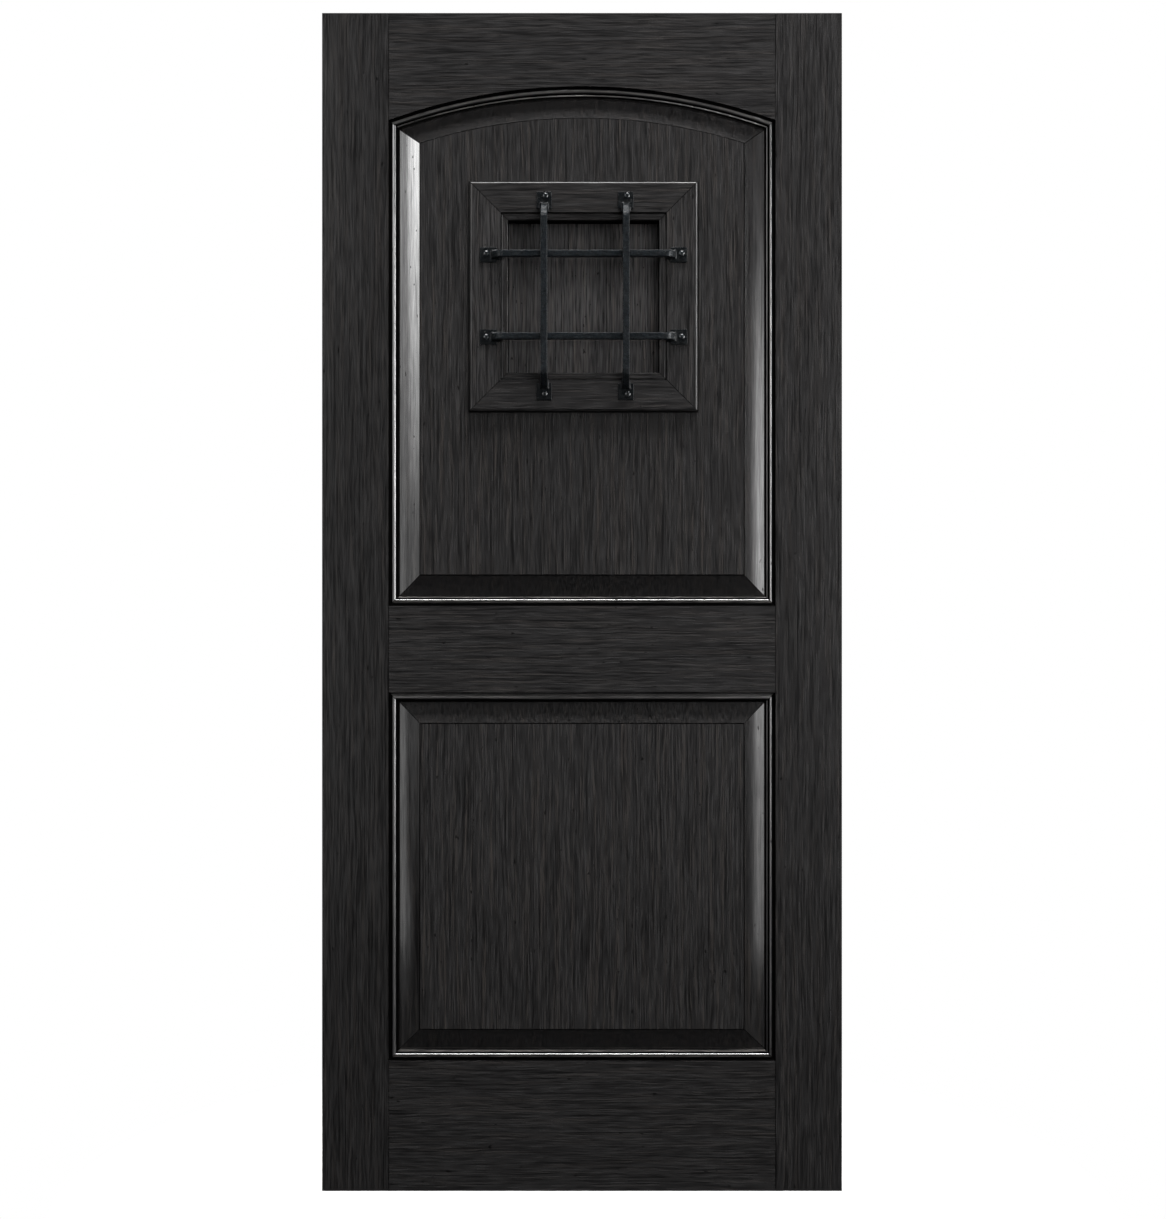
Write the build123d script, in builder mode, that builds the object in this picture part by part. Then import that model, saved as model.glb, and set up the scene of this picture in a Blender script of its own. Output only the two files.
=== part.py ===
from build123d import *
import os
from math import asin, cos, degrees, radians, sin, sqrt, tan

# A solid wood wine cellar door: stiles and rails round two raised panels, the upper one arched,
# with a speakeasy shutter behind a forged iron grille. Millimetres and degrees.
# The origin is the foot of the hinge edge, halfway through the thickness. +Z is up and the front
# faces -Y, so +X runs from the hinge edge to the lock edge.

# The leaf
door_width = 897.0
door_height = 2032.0
door_thickness = 44.5
arris = 1.0

# Stiles and rails, by the width of their faces
stile_width = 114.5
top_rail_width = 126.0
lock_rail_width = 149.0
bottom_rail_width = 224.0
lower_opening_height = 636.0
arch_rise = 58.5
shoulder_arris = 0.5

# The panels' tongues and the grooves that they float in
tongue_thickness = 12.5
tongue_depth = 12.0
tongue_clearance = 0.3
panel_play = 2.0
tenon_clearance = 0.1
tenon_end_gap = 0.5

# The raising of the panels, the same on both faces: a shallow cove that starts at an angle
field_drop = 4.0
raise_step = 2.0
raise_width = 38.3
raise_start_angle = 7.0

# Planted moulding: a cove, a bead in its quirk and a rounded lip, from the frame inwards
moulding_drop = 1.8
cove_radius = 5.4
bead_radius = 3.4
bead_quirk_width = 0.9
bead_quirk_depth = 1.8
lip_width = 3.0
lip_drop = 0.9
lip_radius = 2.6
seat_gap = 0.3

# Speakeasy opening, its front casing and the bead that lines it. Its middle hangs below the arch's
# crown, a little nearer to the lock edge than the door's own middle
speakeasy_width = 260.0
speakeasy_height = 262.0
speakeasy_drop = 363.6
speakeasy_offset = 2.7
casing_width = 54.0
casing_thickness = 12.0
casing_round = 4.5
casing_arris = 0.8
bead_strip_width = 12.6
bead_strip_thickness = 9.0
bead_strip_round = 3.0

# Shutter behind the opening, and the casing round it on the back
rebate_width = 10.0
shutter_thickness = 24.0
shutter_gap = 5.0
shutter_arris = 1.5
back_casing_thickness = 8.0

# Butt hinges of the shutter
hinge_height = 50.0
hinge_leaf_width = 18.0
hinge_leaf_thickness = 1.6
hinge_inset = 38.0
knuckle_radius = 4.0
knuckle_lift = 0.2
knuckle_gap = 0.4
pin_radius = 1.5
pin_clearance = 0.05

# Turned knob of the shutter
knob_radius = 12.0
knob_neck_radius = 5.0
knob_foot_radius = 7.5
knob_foot_height = 5.5
knob_reach = 22.0
knob_head = 11.0
knob_bevel = 2.5
knob_inset = 32.0

# Forged grille: two bars each way, with a bent leg and a pad at each end
bar_size = 12.0
bar_arris = 0.9
bar_spacing_across = 140.4
bar_spacing_up = 141.4
upright_bar_offset = 2.4
bar_standoff = 5.6
pad_margin = 18.2
pad_length = 29.5
pad_width = 27.0
pad_thickness = 3.0
pad_arris = 0.8
leg_setback = 15.5
leg_angle = 48.0
leg_bend_radius = 9.0
flare_width = 18.7
flare_height = 3.4
flare_taper = 40.0

# Levels across the thickness, measured from its middle
face = door_thickness / 2
field = face - field_drop
tongue = tongue_thickness / 2
casing_front = field + casing_thickness
casing_back = field + back_casing_thickness
stop_level = casing_back - shutter_thickness - seat_gap

# Sight lines of the openings, where the stiles and rails end
middle = door_width / 2
left_sight = stile_width
right_sight = door_width - stile_width
half_opening = middle - stile_width
lower_sight_bottom = bottom_rail_width
lower_sight_top = bottom_rail_width + lower_opening_height
upper_sight_bottom = lower_sight_top + lock_rail_width
crown = door_height - top_rail_width
speakeasy_centre_height = crown - speakeasy_drop
spring = crown - arch_rise
arch_radius = (half_opening**2 + arch_rise**2) / (2 * arch_rise)
arch_centre = (middle, 0, crown - arch_radius)

groove_width = tongue_thickness + 2 * tongue_clearance
groove_depth = tongue_depth + panel_play
tenon_thickness = groove_width - 2 * tenon_clearance
tenon_length = groove_depth - tenon_end_gap
moulding_width = cove_radius + 2 * bead_radius + bead_quirk_width + lip_width

# The shutter's opening, its axis and the frame that it hangs in
speakeasy_middle = middle + speakeasy_offset
rebate_size = (speakeasy_width + 2 * rebate_width, speakeasy_height + 2 * rebate_width)
shutter_size = (rebate_size[0] - 2 * shutter_gap, rebate_size[1] - 2 * shutter_gap)
hinge_x = speakeasy_middle - rebate_size[0] / 2 + shutter_gap / 2
hinge_y = casing_back + knuckle_lift + knuckle_radius

# Faces and cross-sections that pieces are drawn on
front_view = Plane.XZ
inwards = Vector(0, 1, 0)

os.makedirs("parts", exist_ok=True)


def keep(piece, name):
    """Labels a finished piece and writes it to its own file."""
    piece.label = name
    export_step(piece, f"parts/{name}.step")


def trim(corner, across, towards):
    """A plane through a corner, along a mitre line and through the thickness, facing the kept side."""
    normal = Vector(*across).cross(inwards)
    if normal.dot(Vector(*towards)) < 0:
        normal = -normal
    return Plane(origin=corner, z_dir=normal)


def raised_section(reach, whole=True):
    """A section through a raised panel, from its middle to the tongue beyond each sight line."""
    foot = reach - moulding_width
    brow = foot - raise_width
    edge = reach + tongue_depth
    climb = (-cos(radians(raise_start_angle)), sin(radians(raise_start_angle)))
    with BuildSketch() as section:
        with BuildLine():
            Polyline((0, field), (brow, field), (brow, field - raise_step))
            TangentArc((foot, tongue), (brow, field - raise_step), tangent=climb)
            Polyline((foot, tongue), (edge, tongue), (edge, 0))
            mirror(about=Plane.XZ)
            if whole:
                mirror(about=Plane.YZ)
            else:
                Line((0, -field), (0, field))
        make_face()
    return section.sketch


# Stiles: full height, each with one groove for both panels and the rails' tenons
def stile_section(outer, sight):
    """Plan of a stile between its outer edge and its sight line."""
    with BuildSketch() as section:
        with Locations(((outer + sight) / 2, 0)):
            Rectangle(stile_width, door_thickness)
        # the inner arrises stay square where the mouldings meet them
        chamfer(section.vertices().filter_by_position(Axis.X, outer - arris, outer + arris), arris)
        with Locations((sight, 0)):
            Rectangle(2 * groove_depth, groove_width, mode=Mode.SUBTRACT)
    return section.sketch


with BuildPart() as hinge_stile:
    with BuildSketch():
        add(stile_section(0, left_sight))
    extrude(amount=door_height)
keep(hinge_stile.part, "hinge_stile")

with BuildPart() as lock_stile:
    with BuildSketch():
        add(stile_section(door_width, right_sight))
    extrude(amount=door_height)
keep(lock_stile.part, "lock_stile")


# Rails: grooved along the edges that face a panel, with haunched tenons in the stiles' grooves
def shoulder_edges(rail):
    """The upright arrises of a rail where it meets the stiles."""
    ends = rail.edges().filter_by(Axis.Z)
    outer = [e for e in ends if abs(abs(e.center().Y) - face) < arris]
    return [e for e in outer if abs(abs(e.center().X - middle) - half_opening) < arris]


def tenons(low, high):
    """Both tenons of a rail, between two heights, as one sketch seen from the front."""
    with BuildSketch() as pair:
        for side in (-1, 1):
            with Locations((middle + side * (half_opening + tenon_length / 2), (low + high) / 2)):
                Rectangle(tenon_length, high - low)
    return pair.sketch


with BuildPart() as bottom_rail:
    with BuildSketch(front_view):
        with Locations((middle, bottom_rail_width / 2)):
            Rectangle(2 * half_opening, bottom_rail_width)
    extrude(amount=face, both=True)
    chamfer(shoulder_edges(bottom_rail), shoulder_arris)
    with BuildSketch(Plane.YZ):
        with Locations((0, lower_sight_bottom)):
            Rectangle(groove_width, 2 * groove_depth)
    extrude(amount=door_width, mode=Mode.SUBTRACT)
    with BuildSketch(front_view):
        add(tenons(0, lower_sight_bottom - groove_depth))
    extrude(amount=tenon_thickness / 2, both=True)
keep(bottom_rail.part, "bottom_rail")

with BuildPart() as lock_rail:
    with BuildSketch(front_view):
        with Locations((middle, lower_sight_top + lock_rail_width / 2)):
            Rectangle(2 * half_opening, lock_rail_width)
    extrude(amount=face, both=True)
    chamfer(shoulder_edges(lock_rail), shoulder_arris)
    with BuildSketch(Plane.YZ):
        for sight in (lower_sight_top, upper_sight_bottom):
            with Locations((0, sight)):
                Rectangle(groove_width, 2 * groove_depth)
    extrude(amount=door_width, mode=Mode.SUBTRACT)
    with BuildSketch(front_view):
        add(tenons(lower_sight_top + groove_depth, upper_sight_bottom - groove_depth))
    extrude(amount=tenon_thickness / 2, both=True)
keep(lock_rail.part, "lock_rail")

with BuildPart() as top_rail:
    with BuildSketch(front_view):
        with Locations((middle, (spring + door_height) / 2)):
            Rectangle(2 * half_opening, door_height - spring)
        with Locations((middle, arch_centre[2])):
            Circle(arch_radius, mode=Mode.SUBTRACT)
    extrude(amount=face, both=True)
    chamfer(shoulder_edges(top_rail), shoulder_arris)
    with BuildSketch(front_view):
        with Locations((middle, arch_centre[2])):
            Circle(arch_radius + groove_depth)
    extrude(amount=groove_width / 2, both=True, mode=Mode.SUBTRACT)
    with BuildSketch(front_view):
        add(tenons(spring + groove_depth, door_height))
    extrude(amount=tenon_thickness / 2, both=True)
keep(top_rail.part, "top_rail")

# Panels: coved and stepped up to a raised field on both faces, with mitred corners
straight_section = raised_section(half_opening)
arch_section = raised_section(arch_radius, whole=False)
lower_length_section = raised_section(lower_opening_height / 2)
lower_middle = (lower_sight_bottom + lower_sight_top) / 2
# the upper panel's bottom raising is drawn from a middle that lies above the door
upper_middle = door_height + top_rail_width
upper_length_section = raised_section(upper_middle - upper_sight_bottom)

with BuildPart() as lower_panel:
    with BuildSketch(Plane((middle, 0, lower_sight_bottom - tongue_depth), z_dir=(0, 0, 1))):
        add(straight_section)
    extrude(amount=lower_opening_height + 2 * tongue_depth)
    with BuildSketch(Plane((0, 0, lower_middle), x_dir=(0, 0, 1), z_dir=(1, 0, 0))):
        add(lower_length_section)
    extrude(amount=door_width, mode=Mode.INTERSECT)
keep(lower_panel.part, "lower_panel")

with BuildPart() as upper_panel:
    with BuildSketch(Plane((middle, 0, upper_sight_bottom - tongue_depth), z_dir=(0, 0, 1))):
        add(straight_section)
    extrude(amount=crown - upper_sight_bottom + 2 * tongue_depth)
    with BuildSketch(Plane((0, 0, upper_middle), x_dir=(0, 0, 1), z_dir=(1, 0, 0))):
        add(upper_length_section)
    extrude(amount=door_width, mode=Mode.INTERSECT)
    with BuildSketch(Plane(arch_centre, x_dir=(0, 0, 1), z_dir=(1, 0, 0))):
        add(arch_section)
    revolve(axis=Axis(arch_centre, (0, 1, 0)), mode=Mode.INTERSECT)
    # the opening, with a rebate from the back that leaves the shutter's stop
    with BuildSketch(front_view):
        with Locations((speakeasy_middle, speakeasy_centre_height)):
            Rectangle(speakeasy_width, speakeasy_height)
    extrude(amount=door_thickness, both=True, mode=Mode.SUBTRACT)
    with BuildSketch(Plane.XZ.offset(-stop_level)):
        with Locations((speakeasy_middle, speakeasy_centre_height)):
            Rectangle(*rebate_size)
    extrude(amount=-door_thickness, mode=Mode.SUBTRACT)
keep(upper_panel.part, "upper_panel")

# Section of the planted moulding: X into the opening, Y down from the frame's face to the panel
cove_depth = moulding_drop + cove_radius
lip_depth = cove_depth + lip_drop
moulding_depth = face - tongue - seat_gap
bead_start = cove_radius
bead_end = cove_radius + 2 * bead_radius
lip_start = bead_end + bead_quirk_width
with BuildSketch() as moulding_section:
    with BuildLine():
        Polyline((0, moulding_depth), (0, moulding_drop))
        TangentArc((0, moulding_drop), (cove_radius, cove_depth), tangent=(0, 1))
        crest = (bead_start + bead_radius, cove_depth - bead_radius)
        TangentArc((bead_start, cove_depth), crest, tangent=(0, -1))
        TangentArc(crest, (bead_end, cove_depth), tangent=(1, 0))
        quirk_floor = cove_depth + bead_quirk_depth
        Polyline(
            (bead_end, cove_depth),
            (bead_end, quirk_floor),
            (lip_start, quirk_floor),
            (lip_start, lip_depth),
            (moulding_width - lip_radius, lip_depth),
        )
        TangentArc(
            (moulding_width - lip_radius, lip_depth),
            (moulding_width, lip_depth + lip_radius),
            tangent=(1, 0),
        )
        Polyline((moulding_width, lip_depth + lip_radius), (moulding_width, moulding_depth))
        Line((moulding_width, moulding_depth), (0, moulding_depth))
    make_face()


def straight_moulding(start, end, start_mitre, end_mitre, section, level):
    """A mitred length along the left, top, right or bottom of an opening, clockwise from the front."""
    first = (start[0], -level, start[1])
    last = (end[0], -level, end[1])
    run = Vector(last) - Vector(first)
    with BuildPart() as strip:
        with BuildSketch(Plane(first, x_dir=inwards.cross(run.normalized()), z_dir=run)):
            add(section)
        extrude(amount=run.length)
        split(bisect_by=trim(first, start_mitre, run))
        split(bisect_by=trim(last, end_mitre, -run))
    return strip.part


def mirrored(piece):
    """The same piece on the back of the door."""
    with BuildPart() as back:
        mirror(piece, about=Plane.XZ)
    return back.part


# Mitre lines: at 45 degrees in square corners, and through both crossings where the arch springs
rising = (1, 0, 1)
falling = (1, 0, -1)
inner_radius = arch_radius - moulding_width
inner_half = half_opening - moulding_width
spring_drop = spring - arch_centre[2] - sqrt(inner_radius**2 - inner_half**2)
left_spring_mitre = (moulding_width, 0, -spring_drop)
right_spring_mitre = (-moulding_width, 0, -spring_drop)

upper_corners = {
    "left": ((left_sight, upper_sight_bottom), (left_sight, spring), rising, left_spring_mitre),
    "right": ((right_sight, spring), (right_sight, upper_sight_bottom), right_spring_mitre, falling),
    "bottom": (
        (right_sight, upper_sight_bottom),
        (left_sight, upper_sight_bottom),
        falling,
        rising,
    ),
}
lower_corners = {
    "left": ((left_sight, lower_sight_bottom), (left_sight, lower_sight_top), rising, falling),
    "top": ((left_sight, lower_sight_top), (right_sight, lower_sight_top), falling, rising),
    "right": ((right_sight, lower_sight_top), (right_sight, lower_sight_bottom), rising, falling),
    "bottom": ((right_sight, lower_sight_bottom), (left_sight, lower_sight_bottom), falling, rising),
}
for opening, corners in (("upper", upper_corners), ("lower", lower_corners)):
    for side, ends in corners.items():
        strip = straight_moulding(*ends, moulding_section.sketch, face)
        keep(strip, f"{opening}_{side}_moulding_front")
        keep(mirrored(strip), f"{opening}_{side}_moulding_back")

spring_angle = degrees(asin(half_opening / arch_radius))
left_spring = (left_sight, -face, spring)
right_spring = (right_sight, -face, spring)
with BuildPart() as arch_moulding:
    to_centre = Vector(arch_centre[0] - left_sight, 0, arch_centre[2] - spring).normalized()
    with BuildSketch(Plane(left_spring, x_dir=to_centre, z_dir=to_centre.cross(inwards))):
        add(moulding_section.sketch)
    revolve(axis=Axis(arch_centre, (0, 1, 0)), revolution_arc=2 * spring_angle)
    split(bisect_by=trim(left_spring, left_spring_mitre, (1, 0, 0)))
    split(bisect_by=trim(right_spring, right_spring_mitre, (-1, 0, 0)))
keep(arch_moulding.part, "arch_moulding_front")
keep(mirrored(arch_moulding.part), "arch_moulding_back")


# Casings round the speakeasy, mitred, with rounded outer edges
def casing_section(width, thickness, outer_round, inner_round):
    """Section of a flat casing: X from its outer edge inwards, Y from its face to the panel."""
    with BuildSketch() as section:
        with Locations((width / 2, thickness / 2)):
            Rectangle(width, thickness)
        face_corners = section.vertices().group_by(Axis.Y)[0].sort_by(Axis.X)
        fillet(face_corners[0], outer_round)
        inner_corner = section.vertices().group_by(Axis.Y)[0].sort_by(Axis.X)[-1]
        fillet(inner_corner, inner_round)
    return section.sketch


def frame_of_four(inner_width, inner_height, section_width, section, level):
    """The left, top, right and bottom of a mitred frame with the given inner size."""
    half_width = inner_width / 2 + section_width
    half_height = inner_height / 2 + section_width
    left, right = speakeasy_middle - half_width, speakeasy_middle + half_width
    low, high = speakeasy_centre_height - half_height, speakeasy_centre_height + half_height
    return {
        "left": straight_moulding((left, low), (left, high), rising, falling, section, level),
        "top": straight_moulding((left, high), (right, high), falling, rising, section, level),
        "right": straight_moulding((right, high), (right, low), rising, falling, section, level),
        "bottom": straight_moulding((right, low), (left, low), falling, rising, section, level),
    }


casing_inner_width = speakeasy_width + 2 * bead_strip_width
casing_inner_height = speakeasy_height + 2 * bead_strip_width
front_casing_section = casing_section(casing_width, casing_thickness, casing_round, casing_arris)
front_casing = frame_of_four(
    casing_inner_width, casing_inner_height, casing_width, front_casing_section, casing_front
)
bead_section = casing_section(
    bead_strip_width, bead_strip_thickness, bead_strip_round, bead_strip_round
)
bead_level = field + bead_strip_thickness
opening_bead = frame_of_four(
    speakeasy_width, speakeasy_height, bead_strip_width, bead_section, bead_level
)
back_casing_section = casing_section(
    casing_width, back_casing_thickness, casing_round, casing_arris
)
back_casing = frame_of_four(*rebate_size, casing_width, back_casing_section, casing_back)
for side in ("left", "top", "right", "bottom"):
    keep(front_casing[side], f"casing_{side}_front")
    keep(opening_bead[side], f"opening_bead_{side}")
    keep(mirrored(back_casing[side]), f"casing_{side}_back")

# Shutter: a thick board that closes against its stop, flush with the back casing
with BuildPart() as shutter:
    with BuildSketch(Plane.XZ.offset(-casing_back)):
        with Locations((speakeasy_middle, speakeasy_centre_height)):
            Rectangle(*shutter_size)
    extrude(amount=shutter_thickness)
    chamfer(shutter.faces().sort_by(Axis.Y)[0].edges(), shutter_arris)
    chamfer(shutter.faces().sort_by(Axis.Y)[-1].edges(), shutter_arris)
keep(shutter.part, "shutter")

# Section of the knob: X out from its axis, Y out from the shutter
neck_length = knob_reach - knob_head
with BuildSketch() as knob_section:
    with BuildLine():
        Polyline(
            (0, 0),
            (knob_foot_radius, 0),
            (knob_neck_radius, knob_foot_height),
            (knob_neck_radius, neck_length),
            (knob_radius, neck_length),
            (knob_radius, knob_reach),
            (0, knob_reach),
            close=True,
        )
    make_face()
    chamfer(knob_section.vertices().sort_by(Axis.X)[-2:], knob_bevel)

knob_x = speakeasy_middle + shutter_size[0] / 2 - knob_inset
knob_foot = (knob_x, casing_back, speakeasy_centre_height)
with BuildPart() as shutter_knob:
    with BuildSketch(Plane(knob_foot, z_dir=(0, 0, 1))):
        add(knob_section.sketch)
    revolve(axis=Axis(knob_foot, (0, 1, 0)))
keep(shutter_knob.part, "shutter_knob")

# Hinges: a fixed leaf with the outer knuckles and the pin, and the shutter's leaf between them
knuckle_height = hinge_height / 3


def hinge_leaf(low, side, knuckles, bore):
    """One leaf, on the fixed side (-1) or the shutter's side (1), with its knuckles on the axis."""
    clear = knuckle_radius + knuckle_gap
    with BuildPart() as leaf:
        with BuildSketch(Plane.XZ.offset(-casing_back)):
            with Locations((hinge_x + side * (clear + hinge_leaf_width) / 2, low + hinge_height / 2)):
                Rectangle(hinge_leaf_width - clear, hinge_height)
            for start, end in knuckles:
                with Locations((hinge_x + side * clear / 2, (start + end) / 2)):
                    Rectangle(clear, end - start)
        extrude(amount=-hinge_leaf_thickness)
        for start, end in knuckles:
            with BuildSketch(Plane((hinge_x, hinge_y, start), z_dir=(0, 0, 1))):
                Circle(knuckle_radius)
            extrude(amount=end - start)
        with BuildSketch(Plane((hinge_x, hinge_y, low), z_dir=(0, 0, 1))):
            Circle(bore)
        extrude(amount=hinge_height, mode=Mode.SUBTRACT if side > 0 else Mode.ADD)
    return leaf.part


low_hinge = speakeasy_centre_height - shutter_size[1] / 2 + hinge_inset
high_hinge = speakeasy_centre_height + shutter_size[1] / 2 - hinge_inset - hinge_height
for name, low in (("lower", low_hinge), ("upper", high_hinge)):
    first = low + knuckle_height
    second = first + knuckle_height
    outer_knuckles = ((low, first), (second, low + hinge_height))
    middle_knuckle = ((first + knuckle_gap, second - knuckle_gap),)
    keep(hinge_leaf(low, -1, outer_knuckles, pin_radius), f"{name}_hinge_fixed_leaf")
    keep(
        hinge_leaf(low, 1, middle_knuckle, pin_radius + pin_clearance),
        f"{name}_hinge_shutter_leaf",
    )


# Grille bars, each drawn on a plane whose X runs along the bar and whose Y stands off the casing
def forged_bar(side, length, standoff):
    """A square bar bent down at both ends to flared feet on flat pads."""
    axis_level = standoff + bar_size / 2
    slope = radians(leg_angle)
    heel = length / 2 - leg_setback - bar_size / (2 * sin(slope)) - (flare_width - bar_size) / 2
    bend = heel - (axis_level - pad_thickness) / tan(slope)
    toe_level = pad_thickness - bar_size
    toe = bend + (axis_level - toe_level) / tan(slope)
    with BuildPart() as bar:
        with BuildSketch(side):
            with BuildLine():
                FilletPolyline(
                    (-toe, toe_level),
                    (-bend, axis_level),
                    (bend, axis_level),
                    (toe, toe_level),
                    radius=leg_bend_radius,
                )
            trace(line_width=bar_size)
        extrude(amount=bar_size / 2, both=True)
        flanks = bar.faces().filter_by(Axis(side.origin, side.z_dir))
        chamfer(flanks.edges(), bar_arris)
        pad_middle = side.origin + side.y_dir * (pad_thickness / 2)
        split(bisect_by=Plane(pad_middle, z_dir=side.y_dir))
        pad_plane = Plane(side.origin, x_dir=side.x_dir, z_dir=side.y_dir)
        for end in (-1, 1):
            with BuildSketch(pad_plane) as pad:
                with Locations((end * (length - pad_length) / 2, 0)):
                    Rectangle(pad_length, pad_width)
                chamfer(pad.vertices(), pad_arris)
            extrude(amount=pad_thickness)
            with BuildSketch(pad_plane.offset(pad_thickness / 2)):
                with Locations((end * heel, 0)):
                    Rectangle(flare_width, flare_width)
            flare = pad_thickness / 2 + flare_height
            extrude(amount=flare, taper=flare_taper)
    return bar.part


casing_outer_width = casing_inner_width + 2 * casing_width
casing_outer_height = casing_inner_height + 2 * casing_width
for name, offset in (("left", -bar_spacing_across / 2), ("right", bar_spacing_across / 2)):
    origin = (speakeasy_middle + upright_bar_offset + offset, -casing_front, speakeasy_centre_height)
    upright = Plane(origin, x_dir=(0, 0, 1), z_dir=(1, 0, 0))
    length = casing_outer_height - 2 * pad_margin
    keep(forged_bar(upright, length, bar_standoff + bar_size), f"grille_bar_{name}")
for name, offset in (("lower", -bar_spacing_up / 2), ("upper", bar_spacing_up / 2)):
    origin = (speakeasy_middle, -casing_front, speakeasy_centre_height + offset)
    level = Plane(origin, x_dir=(1, 0, 0), z_dir=(0, 0, -1))
    length = casing_outer_width - 2 * pad_margin
    keep(forged_bar(level, length, bar_standoff), f"grille_bar_{name}")
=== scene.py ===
from math import radians

import bpy
from mathutils import Matrix, Vector


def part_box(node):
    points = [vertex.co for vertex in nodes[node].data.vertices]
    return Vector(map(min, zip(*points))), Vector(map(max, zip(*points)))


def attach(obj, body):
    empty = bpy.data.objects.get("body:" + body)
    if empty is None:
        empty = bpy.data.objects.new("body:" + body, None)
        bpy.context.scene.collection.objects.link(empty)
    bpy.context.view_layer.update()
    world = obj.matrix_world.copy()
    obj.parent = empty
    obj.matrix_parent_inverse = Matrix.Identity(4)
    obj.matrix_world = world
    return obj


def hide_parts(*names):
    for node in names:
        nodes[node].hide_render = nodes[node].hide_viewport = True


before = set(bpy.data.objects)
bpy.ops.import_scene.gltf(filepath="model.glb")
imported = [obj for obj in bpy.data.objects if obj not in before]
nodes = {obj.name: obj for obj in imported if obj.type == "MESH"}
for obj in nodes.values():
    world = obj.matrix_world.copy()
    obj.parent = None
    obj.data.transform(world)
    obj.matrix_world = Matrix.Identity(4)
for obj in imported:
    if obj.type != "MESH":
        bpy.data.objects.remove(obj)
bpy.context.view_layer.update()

# The looks of a solid wood wine cellar door: charcoal stained, lacquered wood round two raised
# panels, and a forged iron grille over a speakeasy opening. Metres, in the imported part's frame.

# The upper opening's sides and crown, and the arch that runs between them
left_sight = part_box("arch_moulding_front")[0].x
right_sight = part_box("arch_moulding_front")[1].x
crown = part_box("arch_moulding_front")[1].z
door_middle = (left_sight + right_sight) / 2
half_opening = (right_sight - left_sight) / 2
arch_rise = 0.0585
arch_radius = (half_opening**2 + arch_rise**2) / (2 * arch_rise)
arch_centre_height = crown - arch_radius

# How far in from an opening's edge its moulding ends, and then its panel's raising
moulding_width = 0.0161
raising_width = 0.0383
raising_end = moulding_width + raising_width

# Node helpers


def place(tree, kind, sockets=None, **properties):
    """Adds a node; a socket is given a value, or joined to another node's output."""
    made = tree.nodes.new("ShaderNode" + kind)
    for name, value in properties.items():
        setattr(made, name, value)
    for name, value in (sockets or {}).items():
        if isinstance(value, bpy.types.NodeSocket):
            tree.links.new(value, made.inputs[name])
        else:
            made.inputs[name].default_value = value
    return made


def math(tree, operation, first, second=0.0):
    """The output of a Math node."""
    return place(tree, "Math", {0: first, 1: second}, operation=operation).outputs[0]


def remap(tree, value, low, high, to_low=0.0, to_high=1.0):
    """A value stretched from one range to another, and held inside it."""
    sockets = {"Value": value, "From Min": low, "From Max": high,
               "To Min": to_low, "To Max": to_high}
    return place(tree, "MapRange", sockets).outputs[0]


def noise(tree, vector, scale=1.0, detail=2.0, roughness=0.5):
    """The grey output of a Noise texture."""
    sockets = {"Vector": vector, "Scale": scale, "Detail": detail, "Roughness": roughness}
    return place(tree, "TexNoise", sockets).outputs[0]


def mix_colour(tree, share, first, second):
    """Two colours mixed by a share."""
    made = place(tree, "Mix", {0: share, 6: first, 7: second}, data_type="RGBA")
    return made.outputs[2]


def stretch(tree, vector, across, along):
    """The vector scaled across the grain and along it."""
    sockets = {0: vector, 1: (across, across, along)}
    return place(tree, "VectorMath", sockets, operation="MULTIPLY").outputs[0]


def slant(tree, across, upward):
    """The straight distance that a distance across and one upward add up to."""
    square = math(tree, "ADD", math(tree, "MULTIPLY", across, across),
                  math(tree, "MULTIPLY", upward, upward))
    return math(tree, "SQRT", square)


def new_group(name, takes, gives):
    """An empty node group with float outputs, and its input and output nodes."""
    group = bpy.data.node_groups.new(name, "ShaderNodeTree")
    for label, kind in takes.items():
        group.interface.new_socket(label, in_out="INPUT", socket_type=kind)
    for label in gives:
        group.interface.new_socket(label, in_out="OUTPUT", socket_type="NodeSocketFloat")
    return group, group.nodes.new("NodeGroupInput"), group.nodes.new("NodeGroupOutput")


def new_material(name):
    """A node material that holds only its output."""
    made = bpy.data.materials.new(name)
    made.use_nodes = True
    made.node_tree.nodes.clear()
    return made, made.node_tree, made.node_tree.nodes.new("ShaderNodeOutputMaterial")


# The grain's layers: repeats in a metre across and along the grain, finer detail, share in the tone
grain_layers = {
    "bands": (44, 1.2, 1.0, 0.04),
    "streaks": (180, 3, 0.0, 0.05),
    "lines": (560, 30, 0.0, 0.56),
    "hairs": (460, 8, 0.0, 0.48),
}
# The grain wanders by a slow sway and a slighter, quicker tremble, repeating across and along
sway_scale = (14, 3.5)
tremble_scale = (60, 22)
tremble_share = 0.20
warm_scale = (150, 6)
nick_scale = (230, 95)
# Where in its noise each effect starts and is full
tone_range = (0.35, 0.80)
warm_range = (0.48, 0.70)
pore_range = (0.34, 0.20)
nick_range = (0.80, 0.86)
tone_power = 1.2
pore_depth = 0.35


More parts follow.
